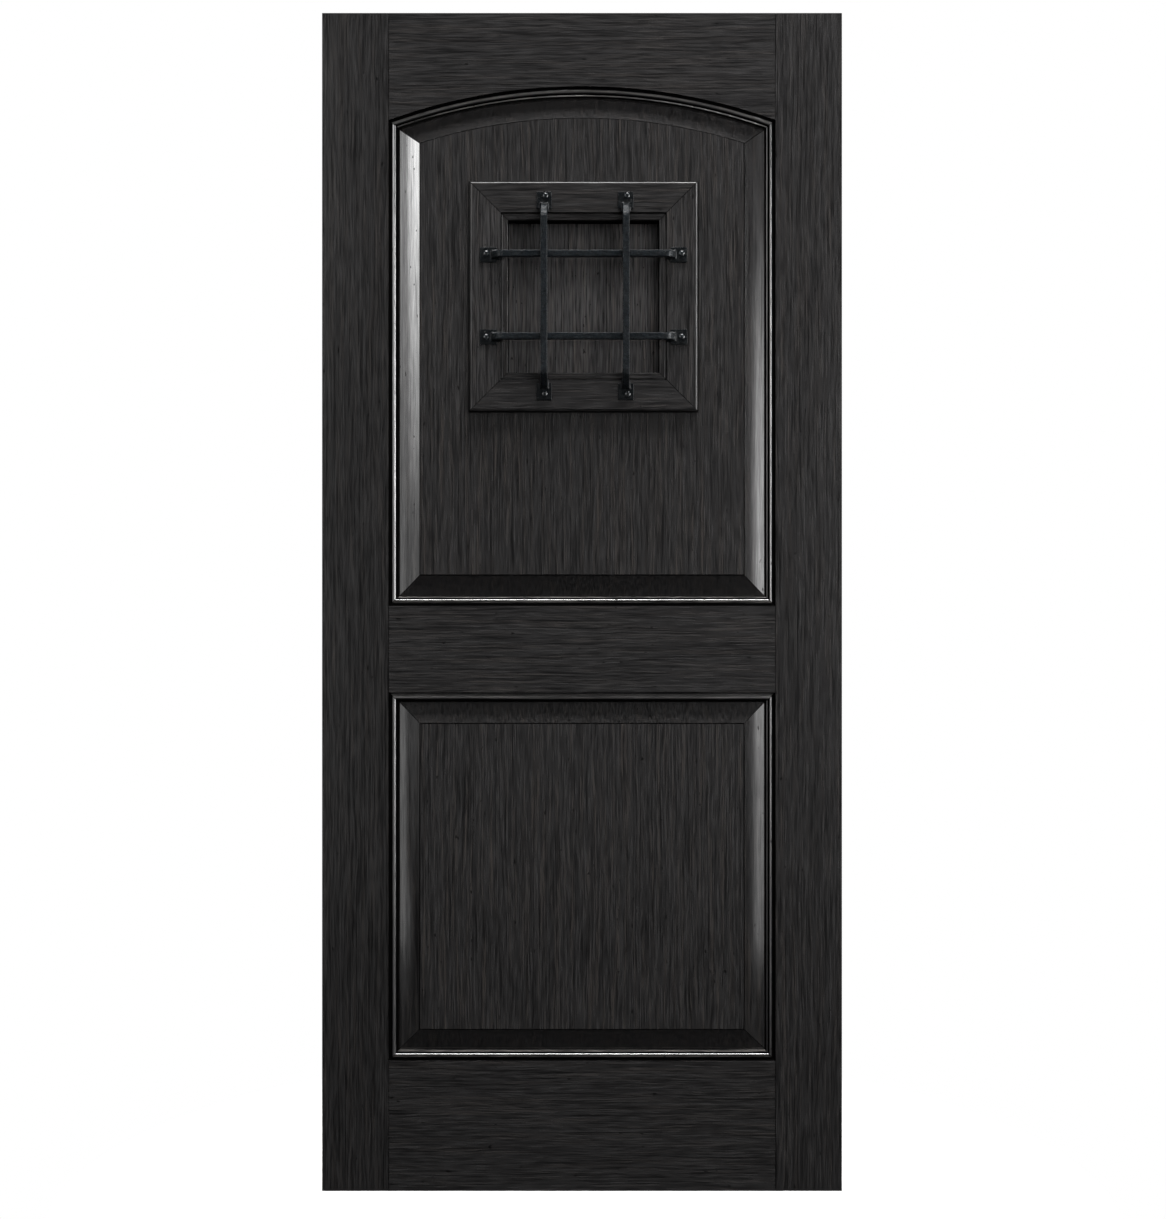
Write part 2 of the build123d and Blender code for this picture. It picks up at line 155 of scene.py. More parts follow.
def wood_grain():
    """Grain along Z: hairlines, streaks, soft bands, open pores, a warm tinge and a rare nick."""
    takes = {"Vector": "NodeSocketVector", "Ripple": "NodeSocketFloat"}
    gives = ("Tone", "Warmth", "Pores", "Nicks", "Height")
    group, start, end = new_group("wood grain", takes, gives)
    vector = start.outputs["Vector"]
    drifts = []
    for scale in (sway_scale, tremble_scale):
        drift = math(group, "SUBTRACT", noise(group, stretch(group, vector, *scale)), 0.5)
        drifts.append(math(group, "MULTIPLY", drift, start.outputs["Ripple"]))
    sway, tremble = drifts
    sideways = math(group, "ADD", sway, math(group, "MULTIPLY", tremble, tremble_share))
    shift = place(group, "CombineXYZ", {"X": sideways, "Y": sideways}).outputs[0]
    bent = place(group, "VectorMath", {0: vector, 1: shift}, operation="ADD").outputs[0]
    drawn, tone = {}, 0.0
    for layer, (across, along, detail, share) in grain_layers.items():
        drawn[layer] = noise(group, stretch(group, bent, across, along), detail=detail)
        tone = math(group, "ADD", tone, math(group, "MULTIPLY", drawn[layer], share))
    warm = noise(group, stretch(group, bent, *warm_scale))
    nicks = noise(group, stretch(group, vector, *nick_scale), detail=0.0)
    pores = remap(group, drawn["hairs"], *pore_range)
    given = {
        "Tone": math(group, "POWER", remap(group, tone, *tone_range), tone_power),
        "Warmth": remap(group, warm, *warm_range),
        "Pores": pores,
        "Nicks": remap(group, nicks, *nick_range),
        "Height": math(group, "SUBTRACT", tone, math(group, "MULTIPLY", pores, pore_depth)),
    }
    for label, value in given.items():
        group.links.new(value, end.inputs[label])
    return group


outline_labels = ("Left", "Right", "Bottom", "Top", "Arched")


def inset_from_outline():
    """How far a point lies inside an outline, and how far from its corners' mitre lines."""
    takes = {"Vector": "NodeSocketVector"} | {label: "NodeSocketFloat" for label in outline_labels}
    group, start, end = new_group("inset from outline", takes, ("Inset", "From Mitre"))
    left, right, bottom, top, arched = (start.outputs[label] for label in outline_labels)
    parts = place(group, "SeparateXYZ", {0: start.outputs["Vector"]})
    x, z = parts.outputs["X"], parts.outputs["Z"]
    sideways = math(group, "MINIMUM", math(group, "SUBTRACT", x, left),
                    math(group, "SUBTRACT", right, x))
    # under an arch the distance from the top is measured along the arch's radius
    across = math(group, "SUBTRACT", x, door_middle)
    upward = math(group, "ADD", math(group, "SUBTRACT", z, top), arch_radius)
    below_arch = math(group, "SUBTRACT", arch_radius, slant(group, across, upward))
    below_top = math(group, "SUBTRACT", top, z)
    flat_share = math(group, "SUBTRACT", 1.0, arched)
    from_top = math(group, "ADD", math(group, "MULTIPLY", below_arch, arched),
                    math(group, "MULTIPLY", below_top, flat_share))
    upright = math(group, "MINIMUM", math(group, "SUBTRACT", z, bottom), from_top)
    group.links.new(math(group, "MINIMUM", sideways, upright), end.inputs["Inset"])
    apart = math(group, "ABSOLUTE", math(group, "SUBTRACT", sideways, upright))
    group.links.new(apart, end.inputs["From Mitre"])
    return group


# How closely the hammer marks, the rolling, the scale and the pits lie (repeats in a metre)
dent_density, rolling_density, scale_density, pit_density = 210.0, 90.0, 260.0, 900.0
dent_share = 0.6
scale_range = (0.40, 0.66)
pit_range = (0.58, 0.72)


def hammering():
    """Shallow overlapping hammer marks, the scale that lies on forged iron, and fine pitting."""
    takes, gives = {"Vector": "NodeSocketVector"}, ("Marks", "Scale", "Pits")
    group, start, end = new_group("hammering", takes, gives)
    vector = start.outputs["Vector"]
    dents = place(group, "TexVoronoi", {"Vector": vector, "Scale": dent_density},
                  feature="SMOOTH_F1").outputs[0]
    marks = math(group, "ADD", math(group, "MULTIPLY", dents, dent_share),
                 noise(group, vector, rolling_density))
    scale = noise(group, vector, scale_density, detail=4.0, roughness=0.6)
    pits = noise(group, vector, pit_density)
    group.links.new(marks, end.inputs["Marks"])
    group.links.new(remap(group, scale, *scale_range), end.inputs["Scale"])
    group.links.new(remap(group, pits, *pit_range), end.inputs["Pits"])
    return group


grain_group = wood_grain()
outline_group = inset_from_outline()
hammering_group = hammering()

# The stain on dark and light grain, its warm tinge and its pores; a near-black that darkens nicks
# and
# # joints and paints shade into recesses, steps and edges; and a light colour that paints highlights
# # on raised edges
stain_dark = (0.0105, 0.0101, 0.0103, 1)
stain_light = (0.0425, 0.0411, 0.0413, 1)
stain_warm = (0.0620, 0.0500, 0.0420, 1)
stain_pore = (0.0030, 0.0028, 0.0028, 1)
glaze = (0.0015, 0.0014, 0.0014, 1)
painted_highlight_colour = (0.2300, 0.2160, 0.2020, 1)


def scaled(colour, factor):
    """A colour made lighter or darker."""
    return tuple(channel * factor for channel in colour[:3]) + (1,)


def along_outline(tree, value, stops):
    """A share that follows a distance: stops as (distance, share), joined by straight lines."""
    total = 0.0
    for (near, low), (far, high) in zip(stops, stops[1:]):
        total = math(tree, "ADD", total, remap(tree, value, near, far, 0.0, high - low))
    return math(tree, "ADD", total, stops[0][1])


def arc_vector(tree, position):
    """Coordinates that follow the arch: across it, through the thickness, and along its curve."""
    parts = place(tree, "SeparateXYZ", {0: position})
    across = math(tree, "SUBTRACT", parts.outputs["X"], door_middle)
    upward = math(tree, "SUBTRACT", parts.outputs["Z"], arch_centre_height)
    along = math(tree, "MULTIPLY", math(tree, "ARCTAN2", across, upward), arch_radius)
    sockets = {"X": slant(tree, across, upward), "Y": parts.outputs["Y"], "Z": along}
    return place(tree, "CombineXYZ", sockets).outputs[0]


def inset_node(tree, position, outline):
    """The group that measures from an outline, set to this one."""
    sockets = {"Vector": position} | dict(zip(outline_labels, outline))
    return place(tree, "Group", sockets, node_tree=outline_group)


# Each board is cut askew through the grain's pattern, so that all show as much of it
board_skew = radians(31)
pore_stain_share = 0.35
nick_glaze_share = 0.8
pore_lacquer_loss = 0.3
lacquer_on_dark_grain = 0.66
roughness_of_grain = (0.66, 0.54)
# Glaze lies along the mitres, as wide as the first distance and gone by the second, on the
# mouldings and the raising but not on the panel's flat field
mitre_glaze_reach = (0.0004, 0.0012)
mitre_glaze_share = 0.92
mitre_glaze_fade = 0.0003
# The lacquer goes dull as glaze and painted shade cover it, between these shares of them
glaze_and_shade_dulls = (0.35, 0.95)
grain_bump_strength = 0.45
grain_bump_depth = 0.0004


def stained_wood(name, grain, start, ripple, outline=None, glaze_stops=None, dull_stops=None,
                 rub_stops=None, rim=None, shade=1.0, warm=0.3, lacquer_index=2.0,
                 lacquer_roughness=0.10):
    """Open-grained wood under a satin lacquer; grain is "upright", "level" or "arc".

    Start is where the board is cut from the pattern, and ripple how far its grain wanders. By the
    distance in from the outline, the first stops give where dark colour paints shade into recesses
    and steps, or marks a joint; the dull stops give where the lacquer is thin; and the last stops
    give where a raised edge is painted lighter, as a highlight. The rim is a second outline, such as
    that of a piece planted on this one or the leaf's own, with stops for painted shade along it.
    """
    made, tree, output = new_material(name)
    position = place(tree, "TexCoord").outputs["Object"]
    placed = arc_vector(tree, position) if grain == "arc" else position
    turn = (0, radians(90 if grain == "level" else 0), board_skew)
    mapped = place(tree, "Mapping", {"Vector": placed, "Location": start, "Rotation": turn})
    pattern = place(tree, "Group", {"Vector": mapped.outputs[0], "Ripple": ripple},
                    node_tree=grain_group)
    tone, warmth, pores, nicks = (pattern.outputs[label]
                                  for label in ("Tone", "Warmth", "Pores", "Nicks"))
    colour = mix_colour(tree, tone, scaled(stain_dark, shade), scaled(stain_light, shade))
    warm_share = math(tree, "MULTIPLY", math(tree, "MULTIPLY", warmth, tone), warm)
    colour = mix_colour(tree, warm_share, colour, scaled(stain_warm, shade))
    colour = mix_colour(tree, math(tree, "MULTIPLY", pores, pore_stain_share), colour, stain_pore)
    glaze_and_shade_share = math(tree, "MULTIPLY", nicks, nick_glaze_share)
    lacquer = math(tree, "SUBTRACT", 1.0, math(tree, "MULTIPLY", pores, pore_lacquer_loss))
    lacquer = math(tree, "MULTIPLY", lacquer, remap(tree, tone, 0, 1, lacquer_on_dark_grain, 1.0))
    # painted shadow and shade along a second outline: round the planted casing, and on the leaf's
    # eased edges
    if rim:
        rim_outline, rim_stops = rim
        rim_inset = inset_node(tree, position, rim_outline).outputs["Inset"]
        glaze_and_shade_share = math(tree, "MAXIMUM", glaze_and_shade_share, along_outline(tree, rim_inset, rim_stops))
    if outline:
        inset, from_mitre = inset_node(tree, position, outline).outputs
        # painted shade in the recesses, quirks and steps, or the dark joint lines on the rails
        shade_and_joint_lines = along_outline(tree, inset, glaze_stops)
        mitre = remap(tree, from_mitre, *mitre_glaze_reach, mitre_glaze_share, 0.0)
        within = remap(tree, inset, raising_end, raising_end + mitre_glaze_fade, 1.0, 0.0)
        mitre = math(tree, "MULTIPLY", mitre, within)
        glaze_and_shade_share = math(tree, "MAXIMUM", glaze_and_shade_share, math(tree, "MAXIMUM", shade_and_joint_lines, mitre))
    # painted highlights: raised edges made lighter where the grain is light
    if rub_stops:
        painted_highlight_share = math(tree, "MULTIPLY", along_outline(tree, inset, rub_stops), tone)
        colour = mix_colour(tree, painted_highlight_share, colour, painted_highlight_colour)
    if dull_stops:
        lacquer = math(tree, "MULTIPLY", lacquer, along_outline(tree, inset, dull_stops))
    # nicks, joints and painted shade all darken the colour
    colour = mix_colour(tree, glaze_and_shade_share, colour, glaze)
    lacquer = math(tree, "MULTIPLY", lacquer, remap(tree, glaze_and_shade_share, *glaze_and_shade_dulls, 1.0, 0.0))
    bump = place(tree, "Bump", {"Strength": grain_bump_strength, "Distance": grain_bump_depth,
                                "Height": pattern.outputs["Height"]})
    wood = place(tree, "BsdfPrincipled", {
        "Base Color": colour,
        "Roughness": remap(tree, tone, 0, 1, *roughness_of_grain),
        "Normal": bump.outputs[0],
        "Coat Weight": lacquer,
        "Coat Roughness": lacquer_roughness,
        "Coat IOR": lacquer_index,
        "Specular IOR Level": 0.0,
    })
    tree.links.new(wood.outputs[0], output.inputs[0])
    return made


# Blackened iron: how much lighter bare iron is than its base colour, and how much darker scale is
bare_iron_factor = 1.7
scale_factor = 0.35
pit_share = 0.4
hammer_bump_depth = 0.0012
# The pads, near the casing, are coloured darker than the bars in front of them
pad_depths = (-0.041, -0.037)
pad_darkening = 0.8


def forged_iron(name, base, smooth, rough, strength, shine, has_pads=False):
    """Blackened iron: hammer marks of a strength, darker and rougher scale, and small pits."""
    made, tree, output = new_material(name)
    position = place(tree, "TexCoord").outputs["Object"]
    pattern = place(tree, "Group", {"Vector": position}, node_tree=hammering_group)
    marks, scale, pits = (pattern.outputs[label] for label in ("Marks", "Scale", "Pits"))
    dark = scaled(base, scale_factor)
    colour = mix_colour(tree, scale, scaled(base, bare_iron_factor), dark)
    if has_pads:
        depth = place(tree, "SeparateXYZ", {0: position}).outputs["Y"]
        pad_share = remap(tree, depth, *pad_depths, 0.0, pad_darkening)
        colour = mix_colour(tree, pad_share, colour, dark)
    relief = math(tree, "SUBTRACT", marks, math(tree, "MULTIPLY", pits, pit_share))
    bump = place(tree, "Bump", {"Strength": strength, "Distance": hammer_bump_depth,
                                "Height": relief})
    iron = place(tree, "BsdfPrincipled", {
        "Base Color": colour,
        "Roughness": remap(tree, scale, 0, 1, smooth, rough),
        "Normal": bump.outputs[0],
        "Specular IOR Level": shine,
    })
    tree.links.new(iron.outputs[0], output.inputs[0])
    return made


iron_black = (0.0056, 0.0074, 0.0090, 1)
iron_worn = (0.0100, 0.0125, 0.0145, 1)
steel_grey = (0.0160, 0.0168, 0.0175, 1)
grille_iron = forged_iron("forged grille iron", iron_black, 0.28, 0.38, 1.0, 0.11, has_pads=True)
screw_iron = forged_iron("pad screw iron", iron_worn, 0.22, 0.30, 0.1, 0.5)
knob_iron = forged_iron("turned knob iron", iron_worn, 0.24, 0.34, 0.12, 0.5)
hinge_steel = forged_iron("blackened hinge steel", steel_grey, 0.30, 0.38, 0.06, 0.5)


def frame_outline(first, last):
    """The outline of a frame, from its left and right pieces, which are as high as it is."""
    return (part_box(first)[0].x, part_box(last)[1].x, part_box(first)[0].z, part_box(first)[1].z, 0)


# Outlines as left, right, bottom, top and whether the top is arched. The rails' one has only its
# sides within reach, so it gives the distance from the joints with the stiles.
upper_outline = (left_sight, right_sight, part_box("upper_bottom_moulding_front")[0].z, crown, 1)
lower_outline = (left_sight, right_sight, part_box("lower_bottom_moulding_front")[0].z,
                 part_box("lower_top_moulding_front")[1].z, 0)
far_below, far_above = -1, 3
rail_outline = (left_sight, right_sight, far_below, far_above, 0)
front_casing_outline = frame_outline("casing_left_front", "casing_right_front")
back_casing_outline = frame_outline("casing_left_back", "casing_right_back")
bead_outline = frame_outline("opening_bead_left", "opening_bead_right")
leaf_outline = frame_outline("hinge_stile", "lock_stile")

# Dark colour by the distance in from an outline: (metres, share). On the mouldings, the raising, the
# # casing and the opening's bead it is painted shade in the coves, quirks, steps and edges; on the
# rails
# # it marks the joints with the stiles. The gaps between are the light lines of the mouldings, which
# # differ from side to side in the photo.
side_moulding_painted_shade = ((0.0, 0.97), (0.0060, 0.97), (0.0072, 0.0), (0.0121, 0.0),
                       (0.0124, 1.0), (0.0161, 0.97))
right_moulding_painted_shade = ((0.0, 0.97), (0.0054, 0.97), (0.0062, 0.0), (0.0094, 0.0),
                        (0.0102, 0.95), (0.0130, 1.0), (0.0133, 0.35), (0.0145, 0.35),
                        (0.0149, 1.0))
bottom_moulding_painted_shade = ((0.0, 0.97), (0.0046, 0.97), (0.0056, 0.0), (0.0084, 0.0),
                         (0.0090, 0.9), (0.0098, 0.9), (0.0104, 0.0), (0.0118, 0.0),
                         (0.0122, 1.0), (0.0140, 0.97), (0.0148, 0.0), (0.0158, 0.3))
top_moulding_painted_shade = ((0.0, 0.98), (0.0016, 0.95), (0.0026, 0.0), (0.0110, 0.0),
                      (0.0122, 1.0), (0.0161, 0.97))
arch_moulding_painted_shade = ((0.0, 0.98), (0.0040, 0.95), (0.0052, 0.0), (0.0080, 0.0),
                       (0.0098, 0.8), (0.0122, 1.0), (0.0131, 1.0), (0.0134, 0.0),
                       (0.0146, 0.0), (0.0152, 0.95))
# painted shade at the quirk by the moulding and at the raised field's step, and a lighter darkening
# over the whole raising
panel_painted_shade = ((moulding_width - 0.0005, 0.95), (moulding_width + 0.0012, 0.30),
               (raising_end - 0.0022, 0.30), (raising_end - 0.0010, 0.97),
               (raising_end + 0.0001, 0.97), (raising_end + 0.0006, 0.0))
joint_glaze = ((0.0, 0.95), (0.0009, 0.7), (0.0015, 0.0))
# painted shade along the casing's outer edge and its inner step
casing_painted_shade = ((0.0, 0.5), (0.0007, 0.0), (0.0530, 0.0), (0.0534, 0.85), (0.0540, 0.95))
# painted shade along the bead's two edges
bead_painted_shade = ((0.0, 0.9), (0.0008, 0.0), (0.0116, 0.0), (0.0122, 0.8))

# Painted shadow round the casing that is planted on the upper panel, and painted shade on the leaf's
# # eased outer edges but not on its sides
casing_rim_painted_shadow = ((-0.0034, 0.0), (-0.0010, 0.85), (0.0, 0.95))
leaf_edge_painted_shade = ((0.00004, 0.0), (0.00014, 0.95), (0.0009, 0.95), (0.0016, 0.0))

# Where raised edges are painted lighter, as painted highlights
bottom_moulding_painted_highlight = ((0.0054, 0.0), (0.0062, 1.0), (0.0084, 1.0), (0.0090, 0.0),
                       (0.0140, 0.0), (0.0148, 0.8))
top_moulding_painted_highlight = ((0.0030, 0.0), (0.0046, 0.30), (0.0098, 0.30), (0.0120, 0.0))
arch_moulding_painted_highlight = ((0.0044, 0.0), (0.0056, 0.8), (0.0080, 0.8), (0.0096, 0.0),
                     (0.0131, 0.0), (0.0135, 1.0))

# How much of the lacquer's shine is left
bottom_moulding_dull = ((0.0, 0.4), (0.0096, 0.4), (0.0104, 0.75), (0.0120, 0.75), (0.0124, 0.03))
casing_dull = ((0.0, 0.13), (0.0040, 0.13), (0.0050, 1.0))
casing_top_dull = ((0.0, 0.22), (0.0040, 0.22), (0.0050, 1.0))
bead_dull = ((0.0, 0.5), (0.0030, 0.5), (0.0040, 1.0), (0.0090, 1.0), (0.0100, 0.12))

# Each wooden piece has its own board: where it is cut from, how its grain runs, and its shade. The
# # shades are partly the boards' own tones and partly painted light, the stiles and the casing's
# sides
# # lighter or darker as the light falls on them
level_pieces = ("rail", "_top_", "_bottom_", "bead_top", "bead_bottom")
level_ripple, upright_ripple, moulding_ripple = 0.011, 0.008, 0.006
board_step = (0.37, 0.11, 0.73)
board_tones_and_painted_light = {
    "hinge_stile": 0.95, "lock_stile": 1.04, "lock_rail": 1.10, "bottom_rail": 1.08,
    "upper_panel": 1.06, "lower_panel": 1.12,
    "casing_left_front": 1.38, "casing_right_front": 1.2, "casing_bottom_front": 1.1,
}
# the shutter is coloured lighter, partly a paler stain and partly painted light where the casing
# shades it
bead_shade, shutter_tone_and_painted_light = 1.2, 2.1
warmer = 0.45
number = 0
for name in sorted(nodes):
    slots = nodes[name].material_slots
    slot_name = slots[0].name
    if slot_name == "stained_wood":
        number += 1
        offset = tuple(step * number for step in board_step)
        grain = "level" if any(word in name for word in level_pieces) else "upright"
        looks = {"ripple": level_ripple if grain == "level" else upright_ripple,
                 "shade": board_tones_and_painted_light.get(name, 1.0)}
        if "moulding" in name:
            looks.update(outline=lower_outline if "lower" in name else upper_outline,
                         glaze_stops=side_moulding_painted_shade, ripple=moulding_ripple,
                         lacquer_index=2.8, lacquer_roughness=0.30)
            if "right" in name:
                looks.update(glaze_stops=right_moulding_painted_shade)
            elif "bottom" in name:
                looks.update(glaze_stops=bottom_moulding_painted_shade, rub_stops=bottom_moulding_painted_highlight,
                             dull_stops=bottom_moulding_dull, lacquer_roughness=0.22)
            elif "top" in name:
                looks.update(glaze_stops=top_moulding_painted_shade, rub_stops=top_moulding_painted_highlight)
            elif name.startswith("arch"):
                grain = "arc"
                looks.update(glaze_stops=arch_moulding_painted_shade, rub_stops=arch_moulding_painted_highlight)
        elif "panel" in name:
            looks.update(outline=lower_outline, glaze_stops=panel_painted_shade, warm=warmer,
                         lacquer_roughness=0.14)
            if "upper" in name:
                looks.update(outline=upper_outline, rim=(front_casing_outline, casing_rim_painted_shadow))
        elif "rail" in name:
            looks.update(outline=rail_outline, glaze_stops=joint_glaze,
                         rim=(leaf_outline, leaf_edge_painted_shade))
        elif "stile" in name:
            looks.update(rim=(leaf_outline, leaf_edge_painted_shade))
        elif "casing" in name:
            back = name.endswith("back")
            looks.update(outline=back_casing_outline if back else front_casing_outline,
                         glaze_stops=casing_painted_shade,
                         dull_stops=casing_top_dull if "top" in name else casing_dull)
        elif "bead" in name:
            looks.update(outline=bead_outline, shade=bead_shade, glaze_stops=bead_painted_shade,
                         dull_stops=bead_dull)
        elif name == "shutter":
            looks.update(shade=shutter_tone_and_painted_light, warm=warmer)
        slots[0].material = stained_wood("wood of " + name, grain, offset, **looks)
    elif name == "shutter_knob":
        slots[0].material = knob_iron
    elif slot_name == "hinge_steel":
        slots[0].material = hinge_steel


def only_this(piece):
    """Deselects everything else and makes this piece the active one."""
    if bpy.context.mode != "OBJECT":
        bpy.ops.object.mode_set(mode="OBJECT")
    bpy.ops.object.select_all(action="DESELECT")
    piece.select_set(True)
    bpy.context.view_layer.objects.active = piece


def finish_modifiers(piece):
    """Applies every modifier of the piece, in order."""
    only_this(piece)
    for name in [modifier.name for modifier in piece.modifiers]:
        bpy.ops.object.modifier_apply(modifier=name)


# The forged bars: each is the bar's own form, softened and worked by the hammer. The blows mostly
# sink, so that the bars stay inside the CAD's.
hammer_texture = bpy.data.textures.new("hammer work", "CLOUDS")
hammer_texture.noise_scale = 0.009
hammer_texture.noise_depth = 1
skin_voxel = 0.0011
hammer_blow = 0.0006
untouched_level = 0.85
same_point = 0.00001
for name in ("grille_bar_left", "grille_bar_right", "grille_bar_lower", "grille_bar_upper"):
    forged = nodes[name].copy()
    forged.data = nodes[name].data.copy()
    forged.name = "forged_" + name
    bpy.context.scene.collection.objects.link(forged)
    forged.parent = None
    # the CAD piece's own marks aren't carried over
    for key in list(forged.keys()):
        del forged[key]
    only_this(forged)
    bpy.ops.object.mode_set(mode="EDIT")
    bpy.ops.mesh.select_all(action="SELECT")
    bpy.ops.mesh.remove_doubles(threshold=same_point)
    bpy.ops.object.mode_set(mode="OBJECT")
    bpy.ops.mesh.customdata_custom_splitnormals_clear()
    forge = forged.modifiers.new("even skin", "REMESH")
    forge.mode = "VOXEL"
    forge.voxel_size = skin_voxel
    work = forged.modifiers.new("hammer work", "DISPLACE")
    work.texture = hammer_texture
    work.texture_coords = "LOCAL"
    work.strength = hammer_blow
    work.mid_level = untouched_level
    finish_modifiers(forged)
    bpy.ops.object.shade_smooth()
    forged.data.materials.clear()
    forged.data.materials.append(grille_iron)
    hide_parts(name)
    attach(forged, "door")


def slotted_screw(name, radius, rim, dome, slot_width, slot_depth, finish):
    """A slotted head, modelled lying on the XY plane with its crown along +Z."""
    bpy.ops.object.select_all(action="DESELECT")
    bpy.ops.mesh.primitive_circle_add(vertices=36, radius=radius * 0.94, fill_type="NGON")
    head = bpy.context.object
    head.name = name
    bpy.ops.object.mode_set(mode="EDIT")
    bpy.ops.mesh.select_all(action="SELECT")
    # the rings of the head from its foot up: each one's rise, and its width beside the last one's
    rings = ((rim * 0.35, 1.06), (rim * 0.65, 1.0), (dome * 0.42, 0.88), (dome * 0.34, 0.80),
             (dome * 0.18, 0.66), (dome * 0.06, 0.45))
    for rise, share in rings:
        bpy.ops.mesh.extrude_region_move(TRANSFORM_OT_translate={"value": (0, 0, rise)})
        bpy.ops.transform.resize(value=(share, share, 1), center_override=(0, 0, 0))
    bpy.ops.mesh.select_all(action="SELECT")
    bpy.ops.mesh.normals_make_consistent(inside=False)
    bpy.ops.object.mode_set(mode="OBJECT")
    bpy.ops.mesh.primitive_cube_add(size=1, location=(0, 0, rim + dome),
                                    scale=(3 * radius, slot_width, 2 * slot_depth))
    cutter = bpy.context.object
    cut = head.modifiers.new("slot", "BOOLEAN")
    cut.operation = "DIFFERENCE"
    cut.object = cutter
    cut.solver = "EXACT"
    finish_modifiers(head)
    bpy.data.objects.remove(cutter)
    ease = head.modifiers.new("eased edges", "BEVEL")
    ease.width = slot_width * 0.12
    ease.segments = 2
    ease.limit_method = "ANGLE"
    ease.angle_limit = radians(40)
    finish_modifiers(head)
    bpy.ops.object.shade_smooth_by_angle(angle=radians(35))
    head.data.materials.append(finish)
    return head


def set_screw(master, name, centre, turn, faces_front, body):
    """A copy of the screw, turned, set on its seat and riding on a body."""
    screw = master.copy()
    screw.data = master.data.copy()
    screw.name = name
    bpy.context.scene.collection.objects.link(screw)
    upright = Matrix.Rotation(radians(90 if faces_front else -90), 4, "X")
    seat = Matrix.Translation(Vector(centre))
    screw.data.transform(seat @ upright @ Matrix.Rotation(radians(turn), 4, "Z"))
    screw.data.update()
    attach(screw, body)


# Slotted screws that hold the grille's pads, each a little out of line and turned its own way, as
# in the photo: name, place across, height and turn
pad_face = -0.03325
pad_screw = slotted_screw("pad_screw", radius=0.0052, rim=0.0008, dome=0.0022, slot_width=0.0012,
                          slot_depth=0.0011, finish=screw_iron)
left_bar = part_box("grille_bar_left")
right_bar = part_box("grille_bar_right")
lower_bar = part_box("grille_bar_lower")
upper_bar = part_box("grille_bar_upper")
left_x = (left_bar[0].x + left_bar[1].x) / 2
right_x = (right_bar[0].x + right_bar[1].x) / 2
lower_z = (lower_bar[0].z + lower_bar[1].z) / 2
upper_z = (upper_bar[0].z + upper_bar[1].z) / 2
pad_screws = (
    ("left_bar_top", left_x + 0.0020, left_bar[1].z - 0.0075, -62),
    ("right_bar_top", right_x + 0.0020, right_bar[1].z - 0.0070, -55),
    ("left_bar_bottom", left_x + 0.0008, left_bar[0].z + 0.0107, -66),
    ("right_bar_bottom", right_x + 0.0032, right_bar[0].z + 0.0100, -58),
    ("upper_bar_left", upper_bar[0].x + 0.0108, upper_z + 0.0018, -50),
    ("upper_bar_right", upper_bar[1].x - 0.0098, upper_z + 0.0018, -64),
    ("lower_bar_left", lower_bar[0].x + 0.0110, lower_z - 0.0002, -60),
    ("lower_bar_right", lower_bar[1].x - 0.0096, lower_z + 0.0001, -48),
)
for name, x, z, turn in pad_screws:
    set_screw(pad_screw, "screw_" + name, (x, pad_face, z), turn, True, "door")
bpy.data.objects.remove(pad_screw)

# Countersunk screws of the shutter's butt hinges: two in each leaf, level with each other
hinge_leaf_face = 0.02785
hinge_screw = slotted_screw("hinge_screw", radius=0.0032, rim=0.0002, dome=0.0003,
                            slot_width=0.0008, slot_depth=0.0004, finish=hinge_steel)
hinge_screw_rows = (("low", -0.016, -44), ("high", 0.016, 84))
hinge_screw_leaves = (("fixed", 0.0065, "door"), ("shutter", 0.0295, "shutter"))
for hinge in ("lower", "upper"):
    low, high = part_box(hinge + "_hinge_fixed_leaf")
    middle = (low.z + high.z) / 2
    for level, rise, turn in hinge_screw_rows:
        for leaf, inward, body in hinge_screw_leaves:
            centre = (low.x + inward, hinge_leaf_face, middle + rise)
            set_screw(hinge_screw, f"screw_{hinge}_hinge_{leaf}_{level}", centre, turn, False,
                      body)
bpy.data.objects.remove(hinge_screw)

# The room: white behind everything, a pale floor, and soft light on the front and the back
room_middle = 0.45
pure_white = (1, 1, 1, 1)


def stage_plane(name, width, height, centre, towards):
    """A flat stage piece that faces a point, with its place in its mesh."""
    bpy.ops.object.select_all(action="DESELECT")
    bpy.ops.mesh.primitive_plane_add(size=1, location=(0, 0, 0))
    made = bpy.context.object
    made.name = name
    direction = Vector(towards) - Vector(centre)
    turn = direction.to_track_quat("Z", "Y").to_matrix().to_4x4()
    size = Matrix.Diagonal((width, height, 1, 1))
    made.data.transform(Matrix.Translation(Vector(centre)) @ turn @ size)
    return made


def glow(name, across, upward, strength):
    """Light that fades over a softbox: stops across it and up it, as (place, share)."""
    made, tree, output = new_material(name)
    parts = place(tree, "SeparateXYZ", {0: place(tree, "TexCoord").outputs["UV"]})
    shares = []
    for value, stops in ((parts.outputs["X"], across), (parts.outputs["Y"], upward)):
        ramp = place(tree, "ValToRGB", {"Fac": value})
        while len(ramp.color_ramp.elements) < len(stops):
            ramp.color_ramp.elements.new(0.5)
        for element, (spot, share) in zip(ramp.color_ramp.elements, stops):
            element.position = spot
            element.color = (share, share, share, 1)
        shares.append(ramp.outputs[0])
    power = math(tree, "MULTIPLY", math(tree, "MULTIPLY", *shares), strength)
    light = place(tree, "Emission", {"Color": pure_white, "Strength": power})
    tree.links.new(light.outputs[0], output.inputs[0])
    return made


even = ((0.0, 1.0), (1.0, 1.0))


def softbox(name, width, height, centre, towards, strength, across=even, upward=even, only=None):
    """A lamp with a cloth front, which the camera doesn't see.

    It lights the door and shows in its lacquer, or does only one of the two: "light" or "gloss".
    """
    made = stage_plane(name, width, height, centre, towards)
    made.data.materials.append(glow("light of " + name, across, upward, strength))
    made.visible_camera = False
    made.visible_shadow = False
    made.visible_transmission = False
    made.visible_diffuse = only != "gloss"
    made.visible_glossy = only != "light"
    return made


